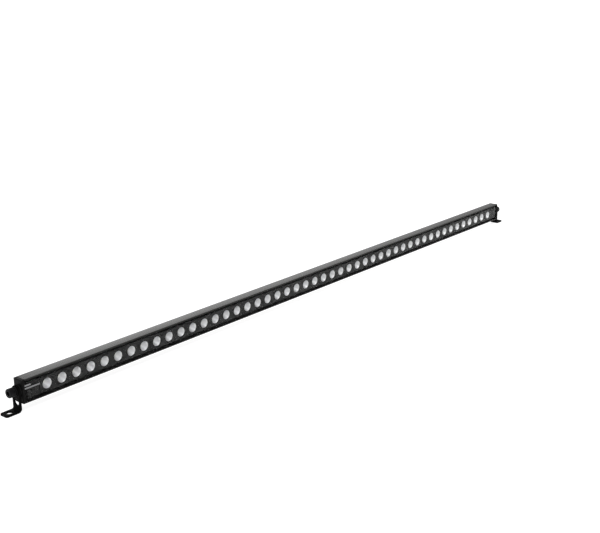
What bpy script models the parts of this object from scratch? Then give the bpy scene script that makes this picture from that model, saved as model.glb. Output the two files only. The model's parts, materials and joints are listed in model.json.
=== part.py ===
"""Slim single-row LED light bar with an L-shaped mounting bracket on each end.

Metres, +Z up. X runs along the bar, the lens faces -Y and the feet stand on z = 0.
The origin is at the middle of the base of the whole object's box. The lamp's own pieces are
modelled about the middle of its body, and each bracket about its pivot bolt.
"""

import math

import bmesh
import bpy
from mathutils import Matrix, Vector

MM = 0.001
GAP = 0.3 * MM  # clearance between neighbouring solids
EMPTY_SIZE = 20 * MM  # how large the frames of the bodies are drawn

# Row of LEDs
LED_COUNT = 48
LED_PITCH = 25 * MM
LEDS_PER_BOARD = 8
BOARD_COUNT = LED_COUNT // LEDS_PER_BOARD
BOARD_SPAN = LEDS_PER_BOARD * LED_PITCH
END_MARGIN = 40.3 * MM  # centre of the last LED to the end of the bar

# Body
BODY_HEIGHT = 34 * MM
BODY_DEPTH = 19 * MM
BODY_CORNER = 1.0 * MM
BODY_LIFT = 27.8 * MM  # middle of the body above the underside of the feet
HALF_BAR = (LED_COUNT - 1) / 2 * LED_PITCH + END_MARGIN
CAP_PLATE = 3.0 * MM
CAP_BOSS = 8.0 * MM
END_GASKET = 0.8 * MM
GASKET_INSET = 0.2 * MM
HALF_HOUSING = HALF_BAR - CAP_PLATE - END_GASKET - 2 * GAP
FRONT = -BODY_DEPTH / 2
BACK = BODY_DEPTH / 2
TOP = BODY_HEIGHT / 2

# Extruded section, measured from the middle of the body
LIP = 1.8 * MM
LEDGE = FRONT + 2.5 * MM
CAVITY_BACK = 3.1 * MM
CAVITY_HALF = 11.4 * MM
GROOVE_COUNT = 5
GROOVE_PITCH = 5.2 * MM
GROOVE_WIDTH = 2.2 * MM
GROOVE_DEPTH = 2.6 * MM

# Optics and electronics, front to back
LENS_INSET = 0.1 * MM
LENS_THICK = 1.2 * MM
LENS_SIDE_GAP = 0.2 * MM
SEAL_THICK = 0.6 * MM
SEAL_INNER_HALF = 12.0 * MM
SEAL_END = 3 * MM
CUP_FRONT = FRONT + LENS_INSET + LENS_THICK + GAP
CUP_BACK = 0.2 * MM
CUP_MOUTH = 7.0 * MM
CUP_THROAT = 2.9 * MM
STRIP_HALF = 11.1 * MM
NOTCH_LENGTH = 4.2 * MM
NOTCH_DEPTH = 3.6 * MM
NOTCH_HEIGHT = 10 * MM
BOARD_FRONT = 0.5 * MM
BOARD_THICK = 1.6 * MM
BOARD_HALF = 10.8 * MM
EMITTER_SIDE = 3.4 * MM
EMITTER_TALL = 0.9 * MM
PAD_FRONT = 2.4 * MM
PAD_THICK = 0.4 * MM
BLANK_THICK = 0.8 * MM
LINK_LENGTH = 5 * MM
LINK_THICK = 0.8 * MM

# Driver, in the space left of the row
DRIVER_END = -616.3 * MM
DRIVER_START = -600.6 * MM
DRIVER_FRONT = -1.3 * MM
DRIVER_THICK = 1.2 * MM
CHIP_SIZE = (4.8 * MM, 4.0 * MM)  # across and high
CHIP_SPOT = (3.6 * MM, 7 * MM)  # from the middle of the board
CHIP_TALL = 1.0 * MM
COIL_RADIUS = 3.1 * MM
COIL_TALL = 3.4 * MM
CAPACITOR_RADIUS = 2.6 * MM
CAPACITOR_TALL = 3.6 * MM
ROUND_PART_X = DRIVER_END + 4 * MM
ROUND_PART_Z = 5 * MM
ROUND_PART_BASE = 0.6 * MM  # height of the narrower base
ROUND_PART_CHAMFER = 0.4 * MM
ROUND_PART_FOOT = 0.9  # radius of the base, as a share of the full one
LEAD_DIAMETER = 1.0 * MM
LEAD_HALF_SPAN = 2.6 * MM
LEAD_RISE = 1.2 * MM
LEAD_SPACING = 6 * MM
LEAD_STEPS = 12

# Cap screws (M2.5, countersunk)
SCREW_Z = 13.9 * MM
SCREW_YS = (-2.6 * MM, 6.2 * MM)
SCREW_SHANK = 1.0 * MM
SCREW_HEAD = 2.2 * MM
SCREW_HEAD_TALL = 1.2 * MM
SCREW_LENGTH = 10 * MM
SCREW_POINT = 0.5 * MM
SCREW_SOCKET = 0.9 * MM
SCREW_SOCKET_DEEP = 0.8 * MM

# Pivot (M8 bolt) and its washers
PIVOT_RISE = 1.4 * MM  # above the middle of the body
BOLT_SHANK = 3.9 * MM
BOLT_CLEAR = 4.2 * MM
BOLT_HEAD = 6.5 * MM
BOLT_HEAD_TALL = 8.0 * MM
BOLT_CHAMFER = 0.6 * MM
BOLT_COLLAR = 5.0 * MM  # narrower shoulder under the head
BOLT_COLLAR_TALL = 1.0 * MM
BOLT_TIP_GAP = 1.5 * MM  # from the blind end of the boss
BOLT_SOCKET = 3.46 * MM
BOLT_SOCKET_DEEP = 4.6 * MM
BOSS_RADIUS = 5.5 * MM
SPACER_THICK = 1.6 * MM
WASHER_THICK = 1.6 * MM
WASHER_RADIUS = 6.4 * MM
SPACER_RADIUS = 8.0 * MM
WASHER_BORE = 4.3 * MM

# Bracket, bent from flat sheet
SHEET = 3.0 * MM
LEG_WIDTH = 16.0 * MM
PIVOT_HOLE = 4.5 * MM
LOWER_HOLE = 5.25 * MM
LOWER_HOLE_DROP = 15.3 * MM  # below the pivot
BEND_INNER = 2.5 * MM
BEND_STEPS = 6
LEG_FACE = HALF_BAR + SPACER_THICK + 2 * GAP
FOOT_TIP = HALF_BAR + 26.8 * MM
FOOT_HOLE = 4.5 * MM
FOOT_HOLE_X = HALF_BAR + 17.2 * MM
FOOT_CORNER = 3.0 * MM
PIVOT_HEIGHT = BODY_LIFT + PIVOT_RISE

# Cable gland and pressure vent on the back
SPOT_FACE = BACK - GROOVE_DEPTH - 0.1 * MM
GLAND_X = -606 * MM
GLAND_PROUD = 10 * MM
GLAND_NECK = 5.0 * MM
GLAND_BORE = 3.5 * MM
GLAND_HEX = 7.6 * MM
GLAND_HEX_THICK = 2.5 * MM
GLAND_NECK_BACK = 5 * MM  # from the neck's end to the nut's outer face
NUT_START = 3.1 * MM  # above the spot face
NUT_RADIUS = 7.0 * MM
NUT_CROWN = 5.6 * MM
NUT_MOUTH = 4.6 * MM
NUT_DOME = 3 * MM
NUT_LIP = 3.5 * MM
NUT_TAPER = 1 * MM
SEAL_BORE = 3.0 * MM
SEAL_RADIUS = 4.2 * MM
GLAND_SEAL_START = 4.6 * MM  # in from the nut's outer face
VENT_X = 606 * MM
VENT_STUB = 2.4 * MM
VENT_CAP = 4.8 * MM
VENT_CAP_TOP = 4.0 * MM
VENT_CAP_EDGE = 1.7 * MM
VENT_CAP_TALL = 2.2 * MM
PORT_CLEAR = 0.3 * MM
SEAT_CLEAR = 0.5 * MM
GLAND_SEAT = 8.3 * MM
VENT_SEAT = VENT_CAP + SEAT_CLEAR

BODY_SHIFT = -GLAND_PROUD / 2  # puts the middle of the whole object's depth on y = 0

SMOOTH_ANGLE = math.radians(35)


# ---------------------------------------------------------------- shapes


def along(axis, distance, u, v):
    """A point distance along axis, with u and v in the two other axes in X, Y, Z order."""
    return {"X": (distance, u, v), "Y": (u, distance, v), "Z": (u, v, distance)}[axis]


def prism(bm, axis, outline, low, high):
    """Add a solid that runs along axis from low to high with the closed outline (u, v)."""
    first = [bm.verts.new(along(axis, low, u, v)) for u, v in outline]
    last = [bm.verts.new(along(axis, high, u, v)) for u, v in outline]
    for i in range(len(outline)):
        j = (i + 1) % len(outline)
        bm.faces.new((first[i], first[j], last[j], last[i]))
    bm.faces.new(first)
    bm.faces.new(last)


def turned(bm, axis, centre, profile, segments=24, ring=False):
    """Add a solid of revolution from (distance along axis, radius); a ring closes on itself."""
    loops = []
    for distance, radius in profile:
        loop = []
        for i in range(segments):
            angle = math.tau * (i + 0.5) / segments
            spot = along(axis, distance, radius * math.cos(angle), radius * math.sin(angle))
            loop.append(bm.verts.new(Vector(spot) + Vector(centre)))
        loops.append(loop)
    pairs = list(zip(loops, loops[1:]))
    if ring:
        pairs.append((loops[-1], loops[0]))
    else:
        bm.faces.new(loops[0])
        bm.faces.new(loops[-1])
    for near, far in pairs:
        for i in range(segments):
            j = (i + 1) % segments
            bm.faces.new((near[i], near[j], far[j], far[i]))


def arc(centre, radius, start, end, steps):
    """Points on an arc, angles in degrees."""
    points = []
    for i in range(steps + 1):
        angle = math.radians(start + (end - start) * i / steps)
        points.append((centre[0] + radius * math.cos(angle), centre[1] + radius * math.sin(angle)))
    return points


def rectangle(half_u, half_v, centre=(0, 0)):
    """The outline of a plain rectangle."""
    u, v = centre
    return [
        (u - half_u, v - half_v),
        (u + half_u, v - half_v),
        (u + half_u, v + half_v),
        (u - half_u, v + half_v),
    ]


def rounded_rectangle(half_u, half_v, radius, centre=(0, 0), steps=3):
    """The outline of a rectangle with round corners."""
    points = []
    for turn, (su, sv) in enumerate(((1, 1), (-1, 1), (-1, -1), (1, -1))):
        corner = (centre[0] + su * (half_u - radius), centre[1] + sv * (half_v - radius))
        points += arc(corner, radius, 90 * turn, 90 * turn + 90, steps)
    return points


def shape(*makers):
    """A new bmesh with each maker's solids in it, facing out."""
    bm = bmesh.new()
    for maker in makers:
        maker(bm)
    bmesh.ops.recalc_face_normals(bm, faces=bm.faces)
    return bm


def combine(body, tool, operation="DIFFERENCE"):
    """The body with the tool cut from it, or joined to it."""
    helpers = []
    for role, bm in (("body", body), ("tool", tool)):
        mesh = bpy.data.meshes.new(role)
        bm.to_mesh(mesh)
        bm.free()
        helper = bpy.data.objects.new(role, mesh)
        bpy.context.scene.collection.objects.link(helper)
        helpers.append(helper)
    modifier = helpers[0].modifiers.new("combine", "BOOLEAN")
    modifier.operation = operation
    modifier.solver = "EXACT"
    modifier.object = helpers[1]
    result = bmesh.new()
    result.from_object(helpers[0], bpy.context.evaluated_depsgraph_get())
    for helper in helpers:
        bpy.data.meshes.remove(helper.data)
    return result


def mirrored(bm):
    """The same solid mirrored from the right end to the left."""
    other = bm.copy()
    bmesh.ops.transform(other, matrix=Matrix.Scale(-1, 4, (1, 0, 0)), verts=other.verts)
    bmesh.ops.recalc_face_normals(other, faces=other.faces)
    return other


# ---------------------------------------------------------------- objects and materials


def make_material(name, colour, roughness, metallic):
    """A Principled material in one plain colour."""
    material = bpy.data.materials.new(name)
    material.use_nodes = True
    surface = material.node_tree.nodes["Principled BSDF"]
    surface.inputs["Base Color"].default_value = (*colour, 1)
    surface.inputs["Roughness"].default_value = roughness
    surface.inputs["Metallic"].default_value = metallic
    material.diffuse_color = (*colour, 1)
    return material


def make_materials():
    """Every material of the bar by name."""
    return {
        "black_anodised": make_material("black_anodised", (0.02, 0.02, 0.022), 0.45, 0.6),
        "powder_coat": make_material("powder_coat", (0.012, 0.012, 0.013), 0.55, 0.0),
        "black_steel": make_material("black_steel", (0.03, 0.03, 0.032), 0.35, 0.9),
        "clear_lens": make_material("clear_lens", (0.75, 0.78, 0.8), 0.05, 0.0),
        "rubber": make_material("rubber", (0.015, 0.015, 0.015), 0.8, 0.0),
        "reflector": make_material("reflector", (0.85, 0.86, 0.88), 0.12, 1.0),
        "circuit_board": make_material("circuit_board", (0.85, 0.86, 0.84), 0.4, 0.0),
        "green_board": make_material("green_board", (0.02, 0.2, 0.07), 0.4, 0.0),
        "thermal_pad": make_material("thermal_pad", (0.25, 0.32, 0.42), 0.8, 0.0),
        "matte_black": make_material("matte_black", (0.01, 0.01, 0.01), 0.7, 0.0),
        "copper": make_material("copper", (0.72, 0.35, 0.18), 0.3, 1.0),
        "tin": make_material("tin", (0.75, 0.75, 0.77), 0.25, 1.0),
        "red_wire": make_material("red_wire", (0.5, 0.02, 0.02), 0.5, 0.0),
        "black_wire": make_material("black_wire", (0.01, 0.01, 0.01), 0.5, 0.0),
    }


def add_empty(name, location, parent=None):
    """A plain axes empty that pieces hang from."""
    empty = bpy.data.objects.new(name, None)
    empty.empty_display_size = EMPTY_SIZE
    empty.location = location
    empty.parent = parent
    bpy.context.scene.collection.objects.link(empty)
    return empty


def add_mesh(name, bm, material):
    """A mesh from the bmesh, smooth where it is round."""
    mesh = bpy.data.meshes.new(name)
    bm.to_mesh(mesh)
    bm.free()
    mesh.materials.clear()
    mesh.materials.append(material)
    mesh.shade_smooth()
    mesh.set_sharp_from_angle(angle=SMOOTH_ANGLE)
    return mesh


def place(name, mesh, parent, location=(0, 0, 0), turn=0):
    """An object with the mesh, turned about Z, at a place measured from its parent."""
    piece = bpy.data.objects.new(name, mesh)
    piece.parent = parent
    piece.location = location
    piece.rotation_euler = (0, 0, turn)
    bpy.context.scene.collection.objects.link(piece)
    return piece


# ---------------------------------------------------------------- body


def housing_outline():
    """The extruded section (y, z): a channel open at the front, with grooves in its back."""
    upper = [
        (CAVITY_BACK, CAVITY_HALF),
        (LEDGE, CAVITY_HALF),
        (LEDGE, TOP - LIP),
        (FRONT, TOP - LIP),
    ]
    upper += arc((FRONT + BODY_CORNER, TOP - BODY_CORNER), BODY_CORNER, 180, 90, 3)
    upper += arc((BACK - BODY_CORNER, TOP - BODY_CORNER), BODY_CORNER, 90, 0, 3)
    for i in range(GROOVE_COUNT // 2, -1, -1):
        high = i * GROOVE_PITCH + GROOVE_WIDTH / 2
        low = high - GROOVE_WIDTH
        upper += [(BACK, high), (BACK - GROOVE_DEPTH, high)]
        if i > 0:
            upper += [(BACK - GROOVE_DEPTH, low), (BACK, low)]
    return upper + [(y, -z) for y, z in reversed(upper)]


def boss_pocket(bm, side):
    """The recess in one end of the housing that clears the end cap's boss."""
    inner = HALF_BAR - CAP_PLATE - CAP_BOSS - GAP
    profile = [(side * inner, BOSS_RADIUS + GAP), (side * HALF_BAR, BOSS_RADIUS + GAP)]
    turned(bm, "X", (0, 0, PIVOT_RISE), profile)


def screw_spots():
    """The (y, z) of the cap screws."""
    return [(y, z) for y in SCREW_YS for z in (-SCREW_Z, SCREW_Z)]


def screw_bores(bm, side):
    """The tapped bores in one end of the housing."""
    for y, z in screw_spots():
        profile = [
            (side * (HALF_BAR - SCREW_LENGTH - MM), SCREW_SHANK + GAP),
            (side * HALF_BAR, SCREW_SHANK + GAP),
        ]
        turned(bm, "X", (0, y, z), profile, segments=12)


def back_port(bm, x, bore, seat):
    """A bore through the back wall with a spot face that clears the grooves."""
    profile = [
        (CAVITY_BACK - MM, bore),
        (SPOT_FACE, bore),
        (SPOT_FACE, seat),
        (BACK + MM, seat),
    ]
    turned(bm, "Y", (x, 0, 0), profile)


def make_housing():
    """The extrusion with its end pockets, screw bores and back ports."""
    body = shape(lambda bm: prism(bm, "X", housing_outline(), -HALF_HOUSING, HALF_HOUSING))

    def cutters(bm):
        for side in (-1, 1):
            boss_pocket(bm, side)
            screw_bores(bm, side)
        back_port(bm, GLAND_X, GLAND_NECK + PORT_CLEAR, GLAND_SEAT)
        back_port(bm, VENT_X, VENT_STUB + PORT_CLEAR, VENT_SEAT)

    return combine(body, shape(cutters))


def make_cap():
    """The right end cap: a plate with a threaded boss behind it for the pivot bolt."""
    outline = rounded_rectangle(BODY_DEPTH / 2, BODY_HEIGHT / 2, BODY_CORNER)
    plate = shape(lambda bm: prism(bm, "X", outline, HALF_BAR - CAP_PLATE, HALF_BAR))
    boss_end = HALF_BAR - CAP_PLATE - CAP_BOSS
    boss_profile = [(boss_end, BOSS_RADIUS), (HALF_BAR - CAP_PLATE / 2, BOSS_RADIUS)]
    boss = shape(lambda bm: turned(bm, "X", (0, 0, PIVOT_RISE), boss_profile))
    body = combine(plate, boss, "UNION")

    def cutters(bm):
        bolt_hole = [(boss_end + MM, BOLT_CLEAR), (HALF_BAR + MM, BOLT_CLEAR)]
        turned(bm, "X", (0, 0, PIVOT_RISE), bolt_hole)
        cone_start = HALF_BAR - SCREW_HEAD_TALL
        flare = (SCREW_HEAD - SCREW_SHANK) / SCREW_HEAD_TALL * MM
        for y, z in screw_spots():
            profile = [
                (HALF_BAR - 2 * CAP_PLATE, SCREW_SHANK + GAP),
                (cone_start, SCREW_SHANK + GAP),
                (HALF_BAR, SCREW_HEAD + GAP),
                (HALF_BAR + MM, SCREW_HEAD + GAP + flare),
            ]
            turned(bm, "X", (0, y, z), profile, segments=12)

    return combine(body, shape(cutters))


def make_end_gasket():
    """The right gasket between the end cap and the housing, open where the cavity is."""
    inner = HALF_HOUSING + GAP
    outline = rounded_rectangle(
        BODY_DEPTH / 2 - GASKET_INSET, BODY_HEIGHT / 2 - GASKET_INSET, BODY_CORNER
    )
    sheet = shape(lambda bm: prism(bm, "X", outline, inner, inner + END_GASKET))
    depth = CAVITY_BACK - LEDGE
    window = rectangle(depth / 2, CAVITY_HALF, ((CAVITY_BACK + LEDGE) / 2, 0))
    span = (inner - MM, inner + END_GASKET + MM)
    sheet = combine(sheet, shape(lambda bm: prism(bm, "X", window, *span)))

    def cutters(bm):
        turned(bm, "X", (0, 0, PIVOT_RISE), [(x, BOSS_RADIUS + GAP) for x in span])
        for y, z in screw_spots():
            turned(bm, "X", (0, y, z), [(x, SCREW_SHANK + GAP) for x in span], segments=12)

    return combine(sheet, shape(cutters))


def make_cap_screw():
    """A countersunk screw along +X, its head's face at the origin."""
    profile = [
        (0, SCREW_HEAD),
        (-SCREW_HEAD_TALL, SCREW_SHANK),
        (-SCREW_LENGTH + SCREW_POINT, SCREW_SHANK),
        (-SCREW_LENGTH, SCREW_SHANK / 2),
    ]
    screw = shape(lambda bm: turned(bm, "X", (0, 0, 0), profile, segments=12))
    socket = [(-SCREW_SOCKET_DEEP, SCREW_SOCKET), (MM, SCREW_SOCKET)]
    return combine(screw, shape(lambda bm: turned(bm, "X", (0, 0, 0), socket, segments=6)))


# ---------------------------------------------------------------- optics and electronics


def make_lens():
    """The one long flat lens."""
    height = TOP - LIP - LENS_SIDE_GAP
    low = FRONT + LENS_INSET
    outline = rectangle(LENS_THICK / 2, height, (low + LENS_THICK / 2, 0))
    return shape(lambda bm: prism(bm, "X", outline, -HALF_HOUSING, HALF_HOUSING))


def make_lens_seal():
    """The flat ring of sealant between the lens and the ledge."""
    front = FRONT + LENS_INSET + LENS_THICK + GAP
    outer = rectangle(HALF_HOUSING - GAP, TOP - LIP - 2 * LENS_SIDE_GAP)
    inner = rectangle(HALF_HOUSING - SEAL_END, SEAL_INNER_HALF)
    sheet = shape(lambda bm: prism(bm, "Y", outer, front, front + SEAL_THICK))
    hole = shape(lambda bm: prism(bm, "Y", inner, front - MM, front + SEAL_THICK + MM))
    return combine(sheet, hole)


def led_spots():
    """The x of each LED on one board, from the board's middle."""
    return [(i - (LEDS_PER_BOARD - 1) / 2) * LED_PITCH for i in range(LEDS_PER_BOARD)]


def make_reflector_strip():
    """One board's length of reflector cups, notched at the ends for the board links."""
    half = BOARD_SPAN / 2 - GAP
    body = shape(lambda bm: prism(bm, "Y", rectangle(half, STRIP_HALF), CUP_FRONT, CUP_BACK))
    slope = (CUP_MOUTH - CUP_THROAT) / (CUP_BACK - CUP_FRONT)

    def cups(bm):
        for x in led_spots():
            profile = [
                (CUP_FRONT - MM, CUP_MOUTH + slope * MM),
                (CUP_BACK + MM, CUP_THROAT - slope * MM),
            ]
            turned(bm, "Y", (x, 0, 0), profile, segments=12)

    def notches(bm):
        for side in (-1, 1):
            outline = rectangle(NOTCH_LENGTH, NOTCH_HEIGHT / 2, (side * half, 0))
            prism(bm, "Y", outline, CUP_BACK - NOTCH_DEPTH, CUP_BACK + MM)

    return combine(combine(body, shape(cups)), shape(notches))


def make_led_board():
    """One board with its row of emitters soldered on."""
    half = BOARD_SPAN / 2 - GAP
    outline = rectangle(half, BOARD_HALF)
    board = shape(lambda bm: prism(bm, "Y", outline, BOARD_FRONT, BOARD_FRONT + BOARD_THICK))

    def emitters(bm):
        for x in led_spots():
            square = rectangle(EMITTER_SIDE / 2, EMITTER_SIDE / 2, (x, 0))
            prism(bm, "Y", square, BOARD_FRONT - EMITTER_TALL, BOARD_FRONT + BOARD_THICK / 2)

    return combine(board, shape(emitters), "UNION")


def make_board_link():
    """The small bridge that joins two boards' tracks."""
    outline = rectangle(LINK_LENGTH / 2, LINK_LENGTH / 2)
    back = BOARD_FRONT - GAP
    return shape(lambda bm: prism(bm, "Y", outline, back - LINK_THICK, back))


def make_thermal_pad():
    """The thin pad that sticks the boards to the back wall."""
    outline = rectangle(BOARD_COUNT * BOARD_SPAN / 2 - GAP, BOARD_HALF)
    return shape(lambda bm: prism(bm, "Y", outline, PAD_FRONT, PAD_FRONT + PAD_THICK))


def make_blank_panel():
    """The right black panel behind the lens, beyond the last cup."""
    inner = BOARD_COUNT * BOARD_SPAN / 2 + GAP
    outer = HALF_HOUSING - SEAL_END - GAP
    outline = rectangle((outer - inner) / 2, STRIP_HALF, ((outer + inner) / 2, 0))
    return shape(lambda bm: prism(bm, "Y", outline, CUP_FRONT, CUP_FRONT + BLANK_THICK))


def make_driver_board():
    """The driver's board with its controller chip."""
    middle = (DRIVER_START + DRIVER_END) / 2
    outline = rectangle((DRIVER_START - DRIVER_END) / 2, BOARD_HALF, (middle, 0))
    back = DRIVER_FRONT + DRIVER_THICK
    board = shape(lambda bm: prism(bm, "Y", outline, DRIVER_FRONT, back))
    chip = rectangle(CHIP_SIZE[0] / 2, CHIP_SIZE[1] / 2, (middle + CHIP_SPOT[0], CHIP_SPOT[1]))
    chip_span = (DRIVER_FRONT - CHIP_TALL, DRIVER_FRONT + DRIVER_THICK / 2)
    return combine(board, shape(lambda bm: prism(bm, "Y", chip, *chip_span)), "UNION")


def make_round_component(x, z, radius, tall):
    """A round coil or capacitor standing on the driver board."""
    base = DRIVER_FRONT - GAP
    profile = [
        (base, radius * ROUND_PART_FOOT),
        (base - ROUND_PART_BASE, radius),
        (base - tall + ROUND_PART_CHAMFER, radius),
        (base - tall, radius - ROUND_PART_CHAMFER),
    ]
    return shape(lambda bm: turned(bm, "Y", (x, 0, z), profile, segments=16))


def add_lead(name, z, material, parent):
    """A short wire that arches from the driver board to the first LED board."""
    start = DRIVER_FRONT - GAP
    end = BOARD_FRONT - GAP
    middle = (DRIVER_START - BOARD_COUNT * BOARD_SPAN / 2 + GAP) / 2
    curve = bpy.data.curves.new(name, "CURVE")
    curve.dimensions = "3D"
    curve.bevel_depth = LEAD_DIAMETER / 2
    curve.bevel_resolution = 2
    curve.use_fill_caps = True
    spline = curve.splines.new("POLY")
    spline.points.add(LEAD_STEPS)
    for i in range(LEAD_STEPS + 1):
        angle = math.pi * i / LEAD_STEPS
        x = middle - LEAD_HALF_SPAN * math.cos(angle)
        y = start + (end - start) * (1 - math.cos(angle)) / 2 - LEAD_RISE * math.sin(angle)
        spline.points[i].co = (x, y, z, 1)
    curve.materials.append(material)
    lead = bpy.data.objects.new(name, curve)
    lead.parent = parent
    bpy.context.scene.collection.objects.link(lead)


# ---------------------------------------------------------------- back ports


def make_gland_body():
    """The gland's hexagonal body, bored through, with a neck each way."""
    seat = SPOT_FACE + GAP
    neck_end = BACK + GLAND_PROUD - GLAND_NECK_BACK
    centre = (GLAND_X, 0, 0)
    hexagon = [(seat, GLAND_HEX), (seat + GLAND_HEX_THICK, GLAND_HEX)]
    necks = [(CAVITY_BACK + GAP, GLAND_NECK), (neck_end, GLAND_NECK)]
    bore = [(0, GLAND_BORE), (neck_end + MM, GLAND_BORE)]
    body = combine(
        shape(lambda bm: turned(bm, "Y", centre, hexagon, segments=6)),
        shape(lambda bm: turned(bm, "Y", centre, necks)),
        "UNION",
    )
    return combine(body, shape(lambda bm: turned(bm, "Y", centre, bore, segments=16)))


def make_gland_nut():
    """The domed nut that squeezes the gland's seal."""
    start = SPOT_FACE + NUT_START
    end = BACK + GLAND_PROUD
    thread = GLAND_NECK + GAP
    profile = [
        (start, thread),
        (start, NUT_RADIUS),
        (end - NUT_DOME, NUT_RADIUS),
        (end, NUT_CROWN),
        (end, NUT_MOUTH),
        (end - NUT_LIP, NUT_MOUTH),
        (end - NUT_LIP - NUT_TAPER, thread),
    ]
    return shape(lambda bm: turned(bm, "Y", (GLAND_X, 0, 0), profile, ring=True))


def make_gland_seal():
    """The rubber insert that grips the power lead."""
    start = BACK + GLAND_PROUD - GLAND_SEAL_START
    end = BACK + GLAND_PROUD - GAP
    profile = [
        (start, SEAL_BORE),
        (start, SEAL_RADIUS),
        (end, SEAL_RADIUS),
        (end, SEAL_BORE),
    ]
    return shape(lambda bm: turned(bm, "Y", (GLAND_X, 0, 0), profile, segments=16, ring=True))


def make_vent_plug():
    """The pressure vent: a threaded stub under a flat cap."""
    seat = SPOT_FACE + GAP
    profile = [
        (CAVITY_BACK + GAP, VENT_STUB),
        (seat, VENT_STUB),
        (seat, VENT_CAP),
        (seat + VENT_CAP_EDGE, VENT_CAP),
        (seat + VENT_CAP_TALL, VENT_CAP_TOP),
    ]
    return shape(lambda bm: turned(bm, "Y", (VENT_X, 0, 0), profile, segments=20))


# ---------------------------------------------------------------- pivots and brackets


def make_bolt():
    """The right pivot bolt, measured from the pivot: a round head on a collar, with a hexagonal socket."""
    under = LEG_FACE + SHEET + WASHER_THICK + 2 * GAP
    head = under + BOLT_COLLAR_TALL
    top = head + BOLT_HEAD_TALL
    tip = HALF_BAR - CAP_PLATE - CAP_BOSS + BOLT_TIP_GAP
    profile = [
        (tip, BOLT_SHANK - BOLT_CHAMFER),
        (tip + BOLT_CHAMFER, BOLT_SHANK),
        (under, BOLT_SHANK),
        (under, BOLT_COLLAR),
        (head, BOLT_COLLAR),
        (head, BOLT_HEAD),
        (top - BOLT_CHAMFER, BOLT_HEAD),
        (top, BOLT_HEAD - BOLT_CHAMFER),
    ]
    socket = [(top - BOLT_SOCKET_DEEP, BOLT_SOCKET), (top + MM, BOLT_SOCKET)]
    body = shape(lambda bm: turned(bm, "X", (-HALF_BAR, 0, 0), profile))
    tool = shape(lambda bm: turned(bm, "X", (-HALF_BAR, 0, 0), socket, segments=6))
    return combine(body, tool)


def make_ring(low, high, radius, bore):
    """A washer or spacer on the right pivot, measured from the pivot."""
    profile = [(low, bore), (low, radius), (high, radius), (high, bore)]
    return shape(lambda bm: turned(bm, "X", (-HALF_BAR, 0, 0), profile, ring=True))


def bend_point(run, side, depth, straight, arc_length):
    """Where a point of the flat blank lands once the sheet is bent.

    run is its distance down the blank, side its place across, and depth its height above the
    face that meets the lamp. straight is the run where the bend starts.
    """
    centre_x = LEG_FACE + SHEET + BEND_INNER
    centre_z = SHEET + BEND_INNER
    if run <= straight:
        return (LEG_FACE + depth, side, centre_z + straight - run)
    if run >= straight + arc_length:
        return (centre_x + run - straight - arc_length, side, depth)
    angle = (run - straight) / arc_length * math.pi / 2
    radius = BEND_INNER + SHEET - depth
    return (centre_x - radius * math.cos(angle), side, centre_z - radius * math.sin(angle))


def make_bracket():
    """The right bracket: a flat blank with its holes, bent into an L, measured from the pivot."""
    half = LEG_WIDTH / 2
    straight = PIVOT_HEIGHT + half - SHEET - BEND_INNER
    arc_length = math.pi / 2 * (BEND_INNER + SHEET / 2)
    foot_end = straight + arc_length + FOOT_TIP - LEG_FACE - SHEET - BEND_INNER
    outline = arc((half, 0), half, 270, 90, 12)
    outline += arc((foot_end - FOOT_CORNER, half - FOOT_CORNER), FOOT_CORNER, 90, 0, 4)
    outline += arc((foot_end - FOOT_CORNER, FOOT_CORNER - half), FOOT_CORNER, 0, -90, 4)
    blank = shape(lambda bm: prism(bm, "Z", outline, 0, SHEET))
    foot_hole_run = foot_end - (FOOT_TIP - FOOT_HOLE_X)

    def holes(bm):
        for run, radius in (
            (half, PIVOT_HOLE),
            (half + LOWER_HOLE_DROP, LOWER_HOLE),
            (foot_hole_run, FOOT_HOLE),
        ):
            turned(bm, "Z", (run, 0, 0), [(-MM, radius), (SHEET + MM, radius)], segments=20)

    bm = combine(blank, shape(holes))
    for i in range(BEND_STEPS + 1):
        everything = bm.verts[:] + bm.edges[:] + bm.faces[:]
        cut_at = straight + arc_length * i / BEND_STEPS
        bmesh.ops.bisect_plane(bm, geom=everything, plane_co=(cut_at, 0, 0), plane_no=(1, 0, 0))
    for vert in bm.verts:
        run, side, depth = vert.co
        bent = Vector(bend_point(run, side, depth, straight, arc_length))
        vert.co = bent - Vector((HALF_BAR, 0, PIVOT_HEIGHT))
    bmesh.ops.recalc_face_normals(bm, faces=bm.faces)
    return bm


# ---------------------------------------------------------------- assembly


def clear_scene():
    """Remove whatever the scene holds."""
    for piece in list(bpy.data.objects):
        bpy.data.objects.remove(piece, do_unlink=True)


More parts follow.
